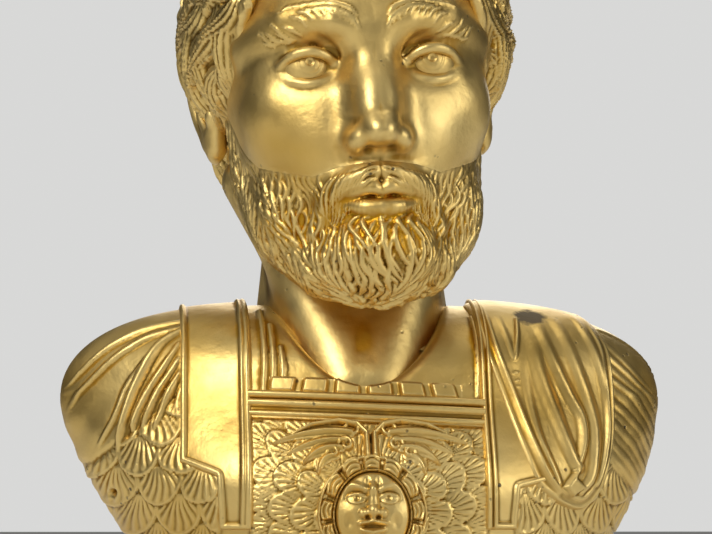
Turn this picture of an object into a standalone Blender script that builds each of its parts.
"""A hammered gold bust of a bearded Roman emperor in a scale cuirass, as one solid.

Metres, +Z up. The bust stands on its flat underside at z = 0 and faces -Y.
It is made in three steps: the body form (head, neck, hair, beard and chest) is
drawn as a rough net and given one skin, the skin is pressed onto the form, and
the carving (locks, scales, straps, folds and the mask on the breast) is raised
from it. The head is drawn in shares of its own height.
"""

import math

import bmesh
import bpy
import numpy as np
from mathutils import Euler

# Sizes of the head and its place
HEAD_HEIGHT = 0.187  # chin to crown, without hair and beard
EYE_LEVEL = 0.229  # height of the eye line above the underside
HEAD_X, HEAD_Y = -0.006, 0.004  # head axis at eye level
HEAD_TURN = math.radians(3)  # towards the viewer's right
HEAD_TILT = math.radians(3)  # crown towards the viewer's left

# Sizes of the neck and chest
NECK_RADIUS_TOP, NECK_RADIUS_FOOT = 0.0365, 0.0445
SHOULDER_HEIGHT = 0.131
SHOULDER_HALF_WIDTH = 0.1310
LEFT_BASE_HALF_WIDTH, RIGHT_BASE_HALF_WIDTH = 0.078, 0.087
WIDEST_HEIGHT = 0.088  # the cut edge of the chest draws in below this
SHOULDER_ROUND = 0.040  # how far down the shoulder rounds off
CHEST_DEPTH = 0.078  # from the side seam to the breast
SHOULDER_DEPTH = 0.050
BACK_DEPTH = 0.054
SEAM_Y = 0.006  # plane of the side seam
SHEET_STEP = 0.0016  # the front sheet stands this far outside the back
CHEST_X = -0.0025  # middle of the breast
NECK_PIT_HEIGHT = 0.0935
NECK_OPENING_HALF_WIDTH = 0.0385

# Sizes of the dress
STRAP_INNER, STRAP_OUTER = 0.0485, 0.0775  # from the middle of the breast
STRAP_TOP = 0.133
STRAP_STEP_HEIGHT = 0.0575
STRAP_TONGUE_OUTER = 0.0635
STRAP_FOOT_HEIGHT = 0.0325
STRAP_RELIEF = 0.0022
RIM_WIDTH = 0.0042
RIM_RELIEF = 0.0018
NECKLINE_HEIGHT = 0.0852
NECKLINE_SLANT = -0.042  # rise per metre across, lower at the viewer's right
BAND_WIDTH = 0.0068
BAND_RELIEF = 0.0028
COLLAR_BLOCK = 0.0062
COLLAR_RELIEF = 0.0022
SCALE_WIDTH = 0.0125
SCALE_PITCH = 0.0125
SCALE_RELIEF = 0.0017
MASK_X, MASK_Z = -0.0020, 0.0390
MASK_HALF_WIDTH, MASK_HALF_HEIGHT = 0.0230, 0.0238
MASK_RELIEF = 0.0075
WING_SPAN = 0.040
WING_RELIEF = 0.0030
CLOAK_RELIEF = 0.0050
FOLD_RELIEF = 0.0030

# Sizes of the hair and its locks, in shares of the head
HAIR_CENTRE, HAIR_RADII = np.array((0, 0.025, 0.135)), np.array((0.370, 0.460, 0.392))
HAIR_ROW_STEP = 17  # degrees from row to row, measured at the middle of the head
HAIR_LOCKS_AROUND = 21  # in the widest row
LOCK_LENGTH = 0.21
HAIR_LOCK_BREADTH, HAIR_LOCK_RELIEF = 0.112, 0.026
BEARD_LOCK_BREADTH, BEARD_LOCK_RELIEF = 0.062, 0.018

# Sizes of the modelling itself
CLAY_CELL = 0.0030
CLAY_MARGIN = 0.010
SKIN_CELL = 0.0015
SOLID_TRIANGLES = 9500
CUT_ALLOWANCE = 0.008  # the masses run this far below the underside
GOLD = (0.60, 0.36, 0.07, 1.0)

HEAD_CENTRE = np.array([HEAD_X, HEAD_Y, EYE_LEVEL])
HEAD_AXES = np.array((Euler((0, 0, HEAD_TURN)).to_matrix() @ Euler((0, -HEAD_TILT, 0)).to_matrix()))
BARE = -1.0e3  # relief where a motif isn't


# Distances to simple masses, negative inside
def ellipsoid(points, centre, radii):
    scaled = (points - np.array(centre)) / np.array(radii)
    length = np.linalg.norm(scaled, axis=1) + 1e-9
    slope = np.linalg.norm(scaled / np.array(radii), axis=1) + 1e-9
    return length * (length - 1) / slope


def capsule(points, start, end, start_radius, end_radius):
    start, end = np.array(start), np.array(end)
    along = end - start
    share = np.clip((points - start) @ along / (along @ along), 0, 1)
    away = points - start - share[:, None] * along
    return np.linalg.norm(away, axis=1) - start_radius - (end_radius - start_radius) * share


def blend(first, second, softness):
    """Union of two masses with a fillet."""
    near = np.maximum(softness - np.abs(first - second), 0) / softness
    return np.minimum(first, second) - near * near * softness / 4


def carve(first, second, softness):
    """The first mass without the second."""
    return -blend(-first, second, softness)


def smoothstep(low, high, value):
    share = np.clip((value - low) / (high - low), 0, 1)
    return share * share * (3 - 2 * share)


def chained(points, path, radii):
    """A bent bar through the points of path."""
    parts = [
        capsule(points, a, b, ra, rb)
        for a, b, ra, rb in zip(path, path[1:], radii, radii[1:])
    ]
    return np.minimum.reduce(parts)


# The head, in shares of its height from the eye line
def in_head(points):
    return (points - HEAD_CENTRE) @ HEAD_AXES / HEAD_HEIGHT


def from_head(shares):
    return np.array(shares) * HEAD_HEIGHT @ HEAD_AXES.T + HEAD_CENTRE


def bare_head(p):
    """Skull, jaw and the features of the face."""
    form = ellipsoid(p, (0, 0.0, 0.125), (0.335, 0.432, 0.375))
    form = blend(form, ellipsoid(p, (0, -0.15, -0.12), (0.285, 0.265, 0.36)), 0.10)
    jaw = chained(p, [(0, -0.33, -0.42), (0.14, -0.22, -0.37), (0.215, -0.03, -0.28)], (0.075, 0.06, 0.05))
    form = blend(form, jaw, 0.09)
    form = blend(form, ellipsoid(p, (0.215, 0.020, -0.20), (0.070, 0.110, 0.120)), 0.05)
    form = blend(form, ellipsoid(p, (0, -0.35, -0.415), (0.10, 0.10, 0.085)), 0.06)
    form = blend(form, ellipsoid(p, (0.205, -0.275, -0.10), (0.085, 0.085, 0.075)), 0.09)
    brow = chained(p, [(0.0, -0.40, 0.075), (0.10, -0.392, 0.098), (0.20, -0.335, 0.10), (0.27, -0.235, 0.05)],
                   (0.036, 0.036, 0.034, 0.028))
    form = blend(form, brow, 0.055)
    form = carve(form, ellipsoid(p, (0.138, -0.435, -0.002), (0.078, 0.062, 0.050)), 0.045)
    form = blend(form, ellipsoid(p, (0.140, -0.325, 0.0), (0.068, 0.068, 0.066)), 0.012)
    upper_lid = chained(p, [(0.078, -0.372, -0.008), (0.108, -0.392, 0.024), (0.142, -0.396, 0.033),
                            (0.178, -0.378, 0.024), (0.208, -0.345, -0.002)], (0.010, 0.013, 0.014, 0.013, 0.010))
    lower_lid = chained(p, [(0.080, -0.372, -0.012), (0.112, -0.386, -0.030), (0.145, -0.388, -0.036),
                            (0.180, -0.370, -0.028), (0.206, -0.345, -0.006)], (0.008, 0.010, 0.010, 0.010, 0.008))
    form = blend(form, blend(upper_lid, lower_lid, 0.006), 0.014)
    nose = chained(p, [(0, -0.395, 0.04), (0, -0.420, -0.04), (0, -0.488, -0.145)], (0.034, 0.030, 0.038))
    nose = blend(nose, ellipsoid(p, (0, -0.425, -0.115), (0.066, 0.070, 0.105)), 0.03)
    nose = blend(nose, ellipsoid(p, (0, -0.500, -0.168), (0.043, 0.046, 0.038)), 0.03)
    nose = blend(nose, ellipsoid(p, (0.054, -0.446, -0.182), (0.030, 0.046, 0.031)), 0.022)
    form = blend(form, nose, 0.045)
    form = carve(form, ellipsoid(p, (0.027, -0.480, -0.216), (0.014, 0.024, 0.016)), 0.012)
    form = blend(form, ellipsoid(p, (0, -0.345, -0.285), (0.125, 0.105, 0.10)), 0.05)
    upper_lip = chained(p, [(0.0, -0.438, -0.291), (0.028, -0.438, -0.286), (0.105, -0.388, -0.306)],
                        (0.018, 0.019, 0.007))
    lower_lip = chained(p, [(0.0, -0.436, -0.325), (0.045, -0.428, -0.324), (0.102, -0.388, -0.309)],
                        (0.022, 0.020, 0.006))
    form = blend(form, upper_lip, 0.020)
    form = blend(form, lower_lip, 0.020)
    ear = ellipsoid(p, (0.318, 0.040, -0.110), (0.050, 0.062, 0.105))
    ear = carve(ear, ellipsoid(p, (0.378, 0.022, -0.095), (0.032, 0.034, 0.058)), 0.020)
    return blend(form, ear, 0.025)


def hair_mass(p):
    """The cap of hair, open over the face and ending at the nape."""
    cap = ellipsoid(p, HAIR_CENTRE, HAIR_RADII)
    cap = blend(cap, ellipsoid(p, (0.300, 0.035, 0.060), (0.070, 0.165, 0.130)), 0.05)
    nape = ellipsoid(p, (0, 0.215, -0.12), (0.290, 0.200, 0.245))
    cap = blend(cap, nape, 0.10)
    window = ellipsoid(p, (0, -0.50, 0.00), (0.335, 0.43, 0.385))
    return carve(cap, window, 0.03)


def beard_mass(p):
    """Beard on cheeks, jaw and chin, with the moustache."""
    side = chained(p, [(0.262, -0.075, -0.08), (0.232, -0.090, -0.24), (0.175, -0.19, -0.375),
                       (0.10, -0.30, -0.445), (0.0, -0.335, -0.460)], (0.040, 0.050, 0.062, 0.078, 0.080))
    cheek = ellipsoid(p, (0.165, -0.215, -0.285), (0.105, 0.125, 0.13))
    beard = blend(side, cheek, 0.06)
    beard = blend(beard, ellipsoid(p, (0, -0.375, -0.425), (0.115, 0.098, 0.092)), 0.05)
    moustache = chained(p, [(0.012, -0.458, -0.240), (0.070, -0.430, -0.262), (0.128, -0.372, -0.315),
                            (0.142, -0.350, -0.375)], (0.022, 0.026, 0.024, 0.020))
    return blend(beard, moustache, 0.02)


def head_form(points):
    p = in_head(points)
    p[:, 0] = np.abs(p[:, 0])
    form = blend(bare_head(p), hair_mass(p), 0.008)
    return blend(form, beard_mass(p), 0.014) * HEAD_HEIGHT


# The neck and chest, in metres
def neck_form(points):
    top = from_head((0, 0.06, -0.36))
    foot = np.array([CHEST_X, -0.003, NECK_PIT_HEIGHT - 0.012])
    neck = capsule(points, top, foot, NECK_RADIUS_TOP, NECK_RADIUS_FOOT)
    for side in (-1, 1):
        behind_ear = from_head((side * 0.24, 0.05, -0.22))
        pit = (CHEST_X + side * 0.007, -0.037, NECK_PIT_HEIGHT + 0.003)
        neck = blend(neck, capsule(points, behind_ear, pit, 0.012, 0.0075), 0.010)
        shoulder = (CHEST_X + side * 0.032, 0.020, SHOULDER_HEIGHT - 0.021)
        neck = blend(neck, capsule(points, from_head((side * 0.07, 0.12, -0.35)), shoulder, 0.022, 0.012), 0.012)
    return neck


def half_width(points):
    """Half the width of the chest at each point's height, on its own side."""
    left = points[:, 0] < 0
    base = np.where(left, LEFT_BASE_HALF_WIDTH, RIGHT_BASE_HALF_WIDTH)
    bulge = np.where(left, 0.80, 0.58)
    share = np.clip(points[:, 2] / WIDEST_HEIGHT, 0, 1)
    width = base + (SHOULDER_HALF_WIDTH - base) * share**bulge
    return width - SHEET_STEP * smoothstep(SEAM_Y + 0.001, SEAM_Y + 0.003, points[:, 1])


def front_depth(across, height):
    """Depth of the front ahead of the seam plane before it rounds off at the edges."""
    breast = CHEST_DEPTH - 0.022 * smoothstep(0.045, 0.100, height) - 0.007 * smoothstep(0.030, -0.010, height)
    return breast - (CHEST_DEPTH - SHOULDER_DEPTH) * across**2


def chest_form(points):
    across = np.abs(points[:, 0]) / half_width(points)
    top = SHOULDER_HEIGHT - SHEET_STEP * smoothstep(SEAM_Y + 0.001, SEAM_Y + 0.003, points[:, 1])
    over = np.maximum(1 - (top - points[:, 2]) / SHOULDER_ROUND, 0)
    front = points[:, 1] < SEAM_Y
    depth = np.where(front, front_depth(np.minimum(across, 1.2), points[:, 2]), BACK_DEPTH)
    total = ((points[:, 1] - SEAM_Y) / depth) ** 2 + across**3.6 + over**2
    return (np.sqrt(total) - 1) * SHOULDER_DEPTH


def neck_opening(points):
    """The hollow around the neck, seen from the front as a rounded V."""
    across = np.abs(points[:, 0] - CHEST_X) / NECK_OPENING_HALF_WIDTH
    edge = NECK_PIT_HEIGHT + (SHOULDER_HEIGHT - NECK_PIT_HEIGHT) * across**2.2
    return np.maximum((edge - points[:, 2]) * 0.6, points[:, 1] - 0.004)


def trunk_form(points):
    chest = carve(chest_form(points), neck_opening(points), 0.004)
    fillet = 0.006 + 0.010 * smoothstep(-0.020, 0.030, points[:, 1])
    return blend(chest, neck_form(points), fillet)


def body_form(points):
    """The whole form; each part is worked out only where it can reach."""
    form = np.full(len(points), 1.0)
    low = points[:, 2] < 0.180
    high = points[:, 2] > 0.095
    form[low] = trunk_form(points[low])
    form[high] = blend(form[high], head_form(points[high]), 0.008)
    return form


def closed_form(points):
    """The whole form, ended a little below the underside."""
    return np.maximum(body_form(points), 0.5 * CUT_ALLOWANCE * -1 - points[:, 2])


# Strokes: tapered, bent bodies laid on the form, used for locks, feathers and folds
def stroke_relief(points, path, half_breadth, height, strands, taper=(0.25, 1.0, 0.35)):
    """Height of one stroke at each point, with grooves between its strands."""
    relief = np.full(len(points), BARE)
    path = np.array(path)
    middle = path.mean(axis=0)
    reach = np.linalg.norm(path - middle, axis=1).max() + half_breadth * 1.2
    near = np.flatnonzero(np.linalg.norm(points - middle, axis=1) < reach)
    if not len(near):
        return relief
    close = points[near]
    best = np.full(len(close), np.inf)
    share = np.zeros(len(close))
    for index, (a, b) in enumerate(zip(path, path[1:])):
        along = b - a
        t = np.clip((close - a) @ along / (along @ along), 0, 1)
        distance = np.linalg.norm(close - a - t[:, None] * along, axis=1)
        nearer = distance < best
        best = np.where(nearer, distance, best)
        share = np.where(nearer, (index + t) / (len(path) - 1), share)
    breadth = half_breadth * np.interp(share, (0, 0.45, 1), taper)
    lateral = best / breadth
    body = np.maximum(1 - lateral**2, 0) ** 0.7
    groove = 0.16 * (1 - np.cos(2 * math.pi * strands * lateral)) * (lateral < 1)
    rise = np.interp(share, (0, 0.35, 0.85, 1), (0.35, 0.8, 1.0, 0.75))
    relief[near] = np.where(lateral < 1, height * rise * (body - groove), BARE)
    return relief


def bent_path(start, direction, sideways, length, bend, count=7):
    """Points along an S: it sets off along direction and sways by bend."""
    share = np.linspace(0, 1, count)[:, None]
    sway = np.sin(share * math.pi * 1.4) * bend
    return np.array(start) + length * (share * np.array(direction) + sway * np.array(sideways))


def unit(vector):
    return vector / (np.linalg.norm(vector) + 1e-9)


def on_hair_cap(p):
    """The point pressed radially onto the hair's cap, in shares."""
    away = p - HAIR_CENTRE
    return HAIR_CENTRE + away / np.linalg.norm(away / HAIR_RADII, axis=-1, keepdims=True)


def hair_strokes():
    """Rows of S-shaped locks from the crown, swept back at the temples."""
    crown = unit(np.array((0.0, 0.35, 0.94)))
    side_axis = unit(np.cross(crown, (0, 1, 0)))
    front_axis = np.cross(side_axis, crown)
    strokes = []
    for row, polar in enumerate(np.radians(np.arange(12, 140, HAIR_ROW_STEP))):
        count = max(6, round(HAIR_LOCKS_AROUND * math.sin(polar)))
        for step in range(count):
            turn = 2 * math.pi * (step + 0.5 * (row % 2)) / count
            outward = math.cos(turn) * side_axis + math.sin(turn) * front_axis
            place = math.cos(polar) * crown + math.sin(polar) * outward
            start = on_hair_cap(HAIR_CENTRE + place)
            down = unit(-math.sin(polar) * crown + math.cos(polar) * outward)
            swept = smoothstep(0.25, -0.25, start[1]) * smoothstep(0.10, 0.34, abs(start[0]))
            heading = unit(down + 1.5 * swept * np.array((0.0, 0.95, -0.3)))
            sideways = np.cross(unit(place), heading)
            swing = 0.22 if (step + row) % 2 else -0.22
            path = on_hair_cap(bent_path(start, heading, sideways, LOCK_LENGTH, swing))
            strokes.append((path, HAIR_LOCK_BREADTH / 2, HAIR_LOCK_RELIEF, 1.5))
    return strokes


def beard_strokes():
    """Wavy locks growing from the cheeks to the chin, and the moustache."""
    strokes = []
    for side in (-1, 1):
        for row in range(6):
            for step, around in enumerate(np.radians(np.arange(4, 86, 12))):
                around = around + math.radians(6) * (row % 2)
                level = -0.25 + 0.20 * (around / math.radians(80)) ** 2 - 0.062 * row
                if math.degrees(around) < 26 and level > -0.37 or level < -0.47:
                    continue
                start = (side * 0.31 * math.sin(around), -0.06 - 0.40 * math.cos(around), level)
                heading = unit(np.array((-side * 0.35 * math.sin(around), -0.3 * math.sin(around), -1.0)))
                swing = 0.16 if (step + row) % 2 else -0.16
                path = bent_path(start, heading, (side * 1.0, 0.3, 0), 0.12 + 0.008 * row, swing)
                strokes.append((path, BEARD_LOCK_BREADTH / 2, BEARD_LOCK_RELIEF * (0.6 + 0.12 * row), 1.5))
        for layer in range(2):
            droop = ((0.010, -0.49, -0.232), (0.040, -0.47, -0.242), (0.070, -0.46, -0.256), (0.100, -0.43, -0.277),
                     (0.125, -0.40, -0.308), (0.142, -0.37, -0.345), (0.150, -0.36, -0.385))
            path = [(side * x * (1 - 0.12 * layer), y, z - 0.016 * layer) for x, y, z in droop]
            strokes.append((path, BEARD_LOCK_BREADTH * 0.45, BEARD_LOCK_RELIEF * 0.9, 1.5))
    return strokes


def settled(strokes):
    """The strokes in metres, with their paths pressed onto the head."""
    paths = np.array([stroke[0] for stroke in strokes])
    points = press_onto(from_head(paths.reshape(-1, 3)), head_form, 4).reshape(paths.shape)
    return [
        (path, breadth * HEAD_HEIGHT, relief * HEAD_HEIGHT, strands)
        for path, (_, breadth, relief, strands) in zip(points, strokes)
    ]


def head_relief(points):
    """Height of the locks, in metres, at points on the form."""
    p = in_head(points)
    p[:, 0] = np.abs(p[:, 0])
    bare = bare_head(p)
    in_hair = smoothstep(0.002, 0.014, bare - hair_mass(p))
    in_beard = smoothstep(0.001, 0.010, bare - beard_mass(p)) * (1 - in_hair)
    hair = np.maximum.reduce([stroke_relief(points, *stroke) for stroke in settled(hair_strokes())])
    beard = np.maximum.reduce([stroke_relief(points, *stroke) for stroke in settled(beard_strokes())])
    return np.maximum(hair, 0) * in_hair + np.maximum(beard, 0) * in_beard


# Motifs on the chest, drawn as seen from the front
def inside(points, outline):
    """Distance inside a closed outline, negative outside it."""
    nearest = np.full(len(points), np.inf)
    odd = np.zeros(len(points), bool)
    for a, b in zip(outline, outline[1:] + outline[:1]):
        a, b = np.array(a), np.array(b)
        along = b - a
        t = np.clip((points - a) @ along / (along @ along), 0, 1)
        nearest = np.minimum(nearest, np.linalg.norm(points - a - t[:, None] * along, axis=1))
        crosses = (points[:, 1] < a[1]) != (points[:, 1] < b[1])
        rise = b[1] - a[1] or 1e-12
        odd ^= crosses & (points[:, 0] < a[0] + (points[:, 1] - a[1]) * along[0] / rise)
    return np.where(odd, nearest, -nearest)


def roll(distance, breadth):
    """A half-round bead across which distance runs from -breadth / 2 to breadth / 2."""
    return np.sqrt(np.maximum(1 - (2 * distance / breadth) ** 2, 0))


def strap_relief(flat, side):
    outline = [
        (CHEST_X + side * STRAP_INNER, STRAP_TOP),
        (CHEST_X + side * STRAP_OUTER, STRAP_TOP),
        (CHEST_X + side * STRAP_OUTER, STRAP_STEP_HEIGHT + 0.003),
        (CHEST_X + side * STRAP_TONGUE_OUTER, STRAP_STEP_HEIGHT - 0.003),
        (CHEST_X + side * STRAP_TONGUE_OUTER, STRAP_FOOT_HEIGHT),
        (CHEST_X + side * STRAP_INNER, STRAP_FOOT_HEIGHT),
    ]
    depth = inside(flat, outline)
    plate = STRAP_RELIEF * smoothstep(-0.0006, 0.0006, depth)
    return plate + RIM_RELIEF * roll(depth - RIM_WIDTH / 2, RIM_WIDTH)


def scale_relief(flat, centre_x, spread):
    """Rows of rounded scales, each overlapping the row below."""
    relief = np.zeros(len(flat))
    x = flat[:, 0] - centre_x
    first = np.floor(flat[:, 1] / SCALE_PITCH)
    for back in (2, 1, 0):
        row = first + back
        column = np.floor(x / SCALE_WIDTH + 0.5 * (row % 2))
        middle = (column + 0.5 - 0.5 * (row % 2)) * SCALE_WIDTH
        away = np.hypot((x - middle) / (SCALE_WIDTH * 0.5), (flat[:, 1] - row * SCALE_PITCH) / (SCALE_PITCH * 1.05))
        below = (flat[:, 1] <= row * SCALE_PITCH) | (back > 0)
        covers = (away < 1) & below
        relief = np.where(covers, np.maximum(relief, SCALE_RELIEF * (0.3 + 0.7 * away**2)), relief)
    return relief * spread


def neckline_relief(flat):
    level = flat[:, 1] - NECKLINE_HEIGHT - NECKLINE_SLANT * (flat[:, 0] - CHEST_X)
    within = smoothstep(STRAP_INNER + 0.001, STRAP_INNER - 0.001, np.abs(flat[:, 0] - CHEST_X))
    rolls = roll(level - BAND_WIDTH / 4, BAND_WIDTH / 2) + roll(level + BAND_WIDTH / 4, BAND_WIDTH / 2)
    thin = 0.4 * roll(level + 0.0062, 0.0022)
    return BAND_RELIEF * (rolls + thin) * within


def collar_relief(flat):
    """Square blocks along the edge of the tunic at the neck."""
    x = flat[:, 0] - CHEST_X
    edge = NECK_PIT_HEIGHT + (SHOULDER_HEIGHT - NECK_PIT_HEIGHT) * (np.abs(x) / NECK_OPENING_HALF_WIDTH) ** 2.2
    along = np.abs((x / (2 * COLLAR_BLOCK)) % 1 - 0.5) * 2
    band = smoothstep(-0.0072, -0.0064, flat[:, 1] - edge) * smoothstep(0.001, -0.0005, flat[:, 1] - edge)
    return COLLAR_RELIEF * band * (0.4 + 0.6 * smoothstep(0.42, 0.58, along)) * (np.abs(x) < STRAP_INNER)


def dome(flat, centre, radii, foot, height):
    """A rounded boss of the mask, from foot up by height."""
    x = (flat[:, 0] - centre[0]) / radii[0]
    z = (flat[:, 1] - centre[1]) / radii[1]
    rest = 1 - x * x - z * z
    return np.where(rest > 0, foot + height * np.sqrt(np.maximum(rest, 0)), BARE)


def mask_relief(flat):
    """A round face with a ring of square locks, as on many cuirasses."""
    x = (flat[:, 0] - MASK_X) / MASK_HALF_WIDTH
    z = (flat[:, 1] - MASK_Z) / MASK_HALF_HEIGHT
    own = np.stack([np.abs(x), z], axis=1)
    radius = np.hypot(x, z)
    angle = np.arctan2(x, z)
    locks = 0.32 + 0.16 * smoothstep(-0.3, 0.5, np.cos(angle * 16))
    relief = np.where(radius < 1, locks * smoothstep(1.0, 0.93, radius), BARE)
    parts = [
        dome(own, (0, 0.02), (0.70, 0.74), 0.20, 0.42),
        dome(own, (0.34, -0.16), (0.25, 0.24), 0.45, 0.30),
        dome(own, (0, 0.42), (0.52, 0.20), 0.40, 0.26),
        dome(own, (0.28, 0.27), (0.26, 0.09), 0.56, 0.26),
        dome(own, (0, 0.07), (0.11, 0.26), 0.55, 0.30),
        dome(own, (0, -0.06), (0.20, 0.13), 0.55, 0.42),
        dome(own, (0, -0.50), (0.26, 0.18), 0.42, 0.26),
        dome(own, (0, -0.25), (0.30, 0.07), 0.60, 0.20),
        dome(own, (0, -0.38), (0.26, 0.07), 0.60, 0.20),
        dome(own, (0.29, 0.14), (0.15, 0.08), 0.58, 0.16),
    ]
    return np.maximum.reduce([relief] + parts) * MASK_RELIEF / 1.0


def wing_relief(flat):
    """Two wings that spring from the top of the mask."""
    spread = np.zeros((len(flat), 3))
    spread[:, 0], spread[:, 2] = flat[:, 0], flat[:, 1]
    relief = np.full(len(flat), BARE)
    top = MASK_Z + MASK_HALF_HEIGHT
    for side in (-1, 1):
        for feather in range(6):
            share = feather / 5
            root = (MASK_X + side * (0.004 + 0.010 * share), 0, top + 0.002 + 0.009 * (1 - share))
            bend = (MASK_X + side * (0.012 + 0.012 * share), 0, top + 0.013 - 0.009 * share)
            reach = WING_SPAN * (1.0 - 0.42 * share)
            tip = (MASK_X + side * reach, 0, top + 0.004 - 0.012 * share)
            height = WING_RELIEF * (1 - 0.35 * share)
            relief = np.maximum(relief, stroke_relief(spread, [root, bend, tip], 0.0030, height, 0))
    return relief


CLOAK_OUTLINE = [
    (0.048, 0.134), (0.0556, 0.109), (0.061, 0.087), (0.067, 0.064), (0.0735, 0.049), (0.087, 0.0415),
    (0.099, 0.049), (0.106, 0.066), (0.108, 0.086), (0.107, 0.110), (0.102, 0.134),
]
CLOAK_KNOT = (0.088, 0.050)  # where the folds of the cloak run together
SLEEVE_ROOT = (-0.077, 0.122)  # where the folds of the sleeve start


def cloak_relief(flat):
    """The gathered cloak on the viewer's right shoulder, falling to a point."""
    depth = inside(flat, CLOAK_OUTLINE)
    body = CLOAK_RELIEF * np.sqrt(np.clip(depth / 0.012, 0, 1))
    spread = np.zeros((len(flat), 3))
    spread[:, 0], spread[:, 2] = flat[:, 0], flat[:, 1]
    folds = np.zeros(len(flat))
    for index, start in enumerate((0.054, 0.064, 0.074, 0.084, 0.094, 0.102)):
        bow = (start - 0.078) * 1.1
        path = [(start, 0, 0.131), (start + 0.35 * bow + 0.004, 0, 0.106),
                (CLOAK_KNOT[0] + 0.75 * bow + 0.001, 0, 0.078), (CLOAK_KNOT[0] + 0.12 * bow, 0, CLOAK_KNOT[1])]
        folds = np.maximum(folds, stroke_relief(spread, path, 0.0040, FOLD_RELIEF, 0, (1.0, 1.0, 0.5)))
    return np.where(depth > 0, body + folds * smoothstep(0, 0.003, depth), BARE)


def sleeve_relief(flat):
    """Folds of the sleeve fanning from the strap over the viewer's left shoulder, and pleats on the right."""
    spread = np.zeros((len(flat), 3))
    spread[:, 0], spread[:, 2] = flat[:, 0], flat[:, 1]
    folds = np.zeros(len(flat))
    for fold in range(8):
        angle = math.radians(202 + 9.5 * fold)
        length = 0.066 - 0.0025 * fold
        tip = (SLEEVE_ROOT[0] + length * math.cos(angle), 0, SLEEVE_ROOT[1] + length * math.sin(angle))
        middle = (SLEEVE_ROOT[0] + 0.5 * length * math.cos(angle) - 0.002, 0,
                  SLEEVE_ROOT[1] + 0.5 * length * math.sin(angle) + 0.003)
        start = (SLEEVE_ROOT[0], 0, SLEEVE_ROOT[1])
        folds = np.maximum(folds, stroke_relief(spread, [start, middle, tip], 0.0036, FOLD_RELIEF, 0, (0.5, 1, 0.8)))
    for pleat in range(6):
        start = (0.106, 0, 0.121 - 0.0105 * pleat)
        tip = (0.130 - 0.001 * pleat, 0, 0.094 - 0.0095 * pleat)
        folds = np.maximum(folds, stroke_relief(spread, [start, tip], 0.0036, FOLD_RELIEF * 0.8, 0, (1, 1, 0.8)))
    return folds


def chest_relief(points):
    """Height of the dress, in metres, at points on the front of the chest."""
    flat = points[:, [0, 2]]
    x = np.abs(flat[:, 0] - CHEST_X)
    panel = smoothstep(STRAP_INNER, STRAP_INNER - 0.002, x) * (flat[:, 1] < NECKLINE_HEIGHT)
    beside = smoothstep(STRAP_TONGUE_OUTER, STRAP_TONGUE_OUTER + 0.002, x) * smoothstep(0.080, 0.070, flat[:, 1])
    relief = np.maximum(scale_relief(flat, CHEST_X, panel), scale_relief(flat, CHEST_X, beside))
    relief = np.maximum(relief, sleeve_relief(flat))
    relief = np.maximum(relief, collar_relief(flat))
    relief = np.maximum(relief, neckline_relief(flat))
    for side in (-1, 1):
        relief = np.maximum(relief, strap_relief(flat, side))
    relief = np.maximum(relief, wing_relief(flat))
    relief = np.maximum(relief, mask_relief(flat))
    return np.maximum(relief, cloak_relief(flat))


# Building the solid
def clear_scene():
    for thing in list(bpy.data.objects):
        bpy.data.objects.remove(thing, do_unlink=True)


def sampled(form, low, cell, counts, halvings=2):
    """Values of the form on a grid, worked out finely only near its surface."""
    index = np.indices(counts)
    if not halvings:
        return form(low + cell * index.reshape(3, -1).T).reshape(counts)
    rough = sampled(form, low, 2 * cell, [count // 2 + 1 for count in counts], halvings - 1)
    values = rough[index[0] // 2, index[1] // 2, index[2] // 2]
    near = np.abs(values) < 5 * cell
    values[near] = form(low + cell * np.argwhere(near))
    return values


def net(form, low, high, cell):
    """Points and four-sided faces of the form's surface, one point in each grid cell that it crosses."""
    low = np.array(low)
    values = sampled(form, low, cell, [int(np.ceil(span / cell)) + 1 for span in np.array(high) - low])
    cells = np.array(values.shape) - 1
    offsets, hits = np.zeros((*cells, 3)), np.zeros(cells)
    crossings = []
    for axis in range(3):
        first, second = np.delete(values, -1, axis), np.delete(values, 0, axis)
        crosses = (first < 0) != (second < 0)
        share = np.where(crosses, first / np.where(crosses, first - second, 1), 0)
        crossings.append((crosses, first < 0))
        beside = [other for other in range(3) if other != axis]
        for steps in ((0, 0), (0, 1), (1, 0), (1, 1)):
            window = [slice(None)] * 3
            for other, step in zip(beside, steps):
                window[other] = slice(step, step + cells[other])
            here = crosses[tuple(window)]
            hits += here
            offsets[..., axis] += share[tuple(window)]
            for other, step in zip(beside, steps):
                offsets[..., other] += step * here
    active = hits > 0
    points = low + cell * (np.argwhere(active) + offsets[active] / hits[active][:, None])
    number = np.cumsum(active).reshape(active.shape) - 1
    faces = []
    for axis, (crosses, starts_inside) in enumerate(crossings):
        beside = [other for other in range(3) if other != axis]
        where = np.argwhere(crosses)
        where = where[(where[:, beside] > 0).all(axis=1) & (where[:, beside] < cells[beside]).all(axis=1)]
        corners = []
        for steps in ((1, 1), (0, 1), (0, 0), (1, 0)):
            corner = where.copy()
            corner[:, beside] -= steps
            corners.append(number[tuple(corner.T)])
        quads = np.stack(corners, axis=1)
        turned = starts_inside[tuple(where.T)] == (axis == 1)
        quads[turned] = quads[turned, ::-1]
        faces.append(quads)
    return points, np.concatenate(faces)


def add_clay():
    """The whole form as one rough body, to be given its skin."""
    width, top = SHOULDER_HALF_WIDTH + CLAY_MARGIN, EYE_LEVEL + 0.7 * HEAD_HEIGHT
    front, back = SEAM_Y - CHEST_DEPTH - 3 * CLAY_MARGIN, HEAD_Y + 0.6 * HEAD_HEIGHT
    low, high = (-width, front, -CUT_ALLOWANCE), (width, back, top)
    points, faces = net(closed_form, low, high, CLAY_CELL)
    mesh = bpy.data.meshes.new("gold_bust")
    mesh.from_pydata(points.tolist(), [], faces.tolist())
    bust = bpy.data.objects.new("gold_bust", mesh)
    bpy.context.collection.objects.link(bust)
    return bust


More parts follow.
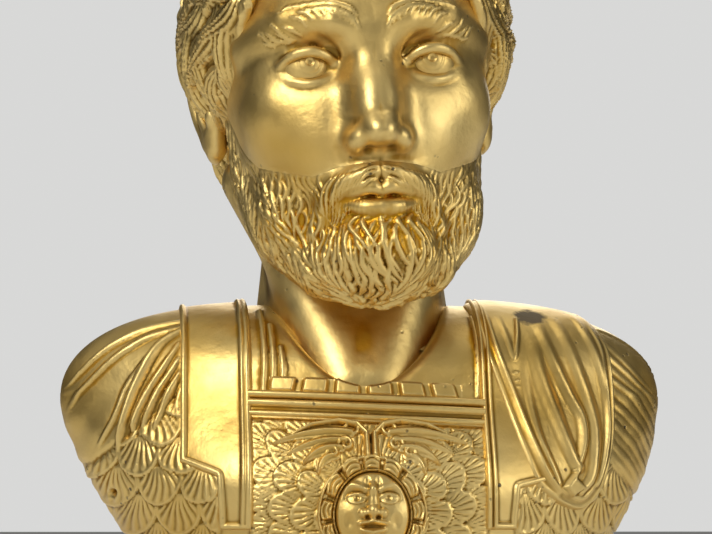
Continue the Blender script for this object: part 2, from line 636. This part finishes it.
def give_skin(bust, cell):
    bust.data.remesh_voxel_size = cell
    bpy.context.view_layer.objects.active = bust
    bpy.ops.object.voxel_remesh()


def coordinates(mesh):
    values = np.empty(len(mesh.vertices) * 3)
    mesh.vertices.foreach_get("co", values)
    return values.reshape(-1, 3)


def move_to(mesh, points):
    mesh.vertices.foreach_set("co", points.reshape(-1))
    mesh.update()


def value_and_slope(points, form, step=2e-4):
    """The form's value and gradient at each point, from four samples around it."""
    corners = np.array(((1, 1, 1), (1, -1, -1), (-1, 1, -1), (-1, -1, 1)))
    samples = [form(points + step * corner) for corner in corners]
    gradient = sum(sample[:, None] * corner for sample, corner in zip(samples, corners)) / (4 * step)
    return sum(samples) / 4, gradient


def press_onto(points, form, rounds, longest=0.004):
    """Moves the points onto the surface of the form, along its slope."""
    for _ in range(rounds):
        value, gradient = value_and_slope(points, form)
        steepness = np.maximum(np.linalg.norm(gradient, axis=1), 0.2)
        step = np.clip(value / steepness, -longest, longest)
        points = points - gradient * (step / steepness)[:, None]
    return points


def raise_relief(points):
    """Carving raised along the form's slope: locks on the head, dress on the chest."""
    _, gradient = value_and_slope(points, body_form)
    outward = gradient / (np.linalg.norm(gradient, axis=1, keepdims=True) + 1e-9)
    head_share = smoothstep(-0.002, 0.004, neck_form(points) - head_form(points))
    front_share = smoothstep(0.35, 0.05, outward[:, 1]) * smoothstep(0.0, 0.006, neck_form(points))
    facing = smoothstep(SEAM_Y + 0.002, SEAM_Y - 0.003, points[:, 1]) * front_share * (points[:, 2] < 0.136)
    locks = head_relief(points) * head_share
    dress = np.maximum(chest_relief(points), 0) * facing * (1 - head_share)
    return points + outward * (locks + dress)[:, None]


def cut_flat(bust):
    """The flat underside at z = 0, and the middle of the bounding box over the origin."""
    mesh = bmesh.new()
    mesh.from_mesh(bust.data)
    everything = mesh.verts[:] + mesh.edges[:] + mesh.faces[:]
    bmesh.ops.bisect_plane(mesh, geom=everything, plane_co=(0, 0, 0), plane_no=(0, 0, 1), clear_inner=True)
    rim = [edge for edge in mesh.edges if edge.is_boundary]
    bmesh.ops.holes_fill(mesh, edges=rim, sides=0)
    bmesh.ops.triangulate(mesh, faces=[face for face in mesh.faces if len(face.verts) > 3])
    corners = np.array([vert.co for vert in mesh.verts])
    middle = (corners.min(axis=0) + corners.max(axis=0)) / 2
    bmesh.ops.translate(mesh, verts=mesh.verts, vec=(-middle[0], -middle[1], 0))
    bmesh.ops.recalc_face_normals(mesh, faces=mesh.faces)
    mesh.to_mesh(bust.data)
    mesh.free()


def gold():
    material = bpy.data.materials.new("gold")
    material.use_nodes = True
    shader = material.node_tree.nodes["Principled BSDF"]
    shader.inputs["Base Color"].default_value = GOLD
    shader.inputs["Metallic"].default_value = 1.0
    shader.inputs["Roughness"].default_value = 0.3
    return material


def main():
    clear_scene()
    bust = add_clay()
    give_skin(bust, SKIN_CELL)
    move_to(bust.data, press_onto(coordinates(bust.data), body_form, 3))
    move_to(bust.data, raise_relief(coordinates(bust.data)))
    fewer = bust.modifiers.new("fewer", "DECIMATE")
    fewer.ratio = SOLID_TRIANGLES / (2 * len(bust.data.polygons))
    bpy.ops.object.modifier_apply(modifier=fewer.name)
    cut_flat(bust)
    bust.data.materials.clear()
    bust.data.materials.append(gold())


if __name__ == "__main__":
    main()
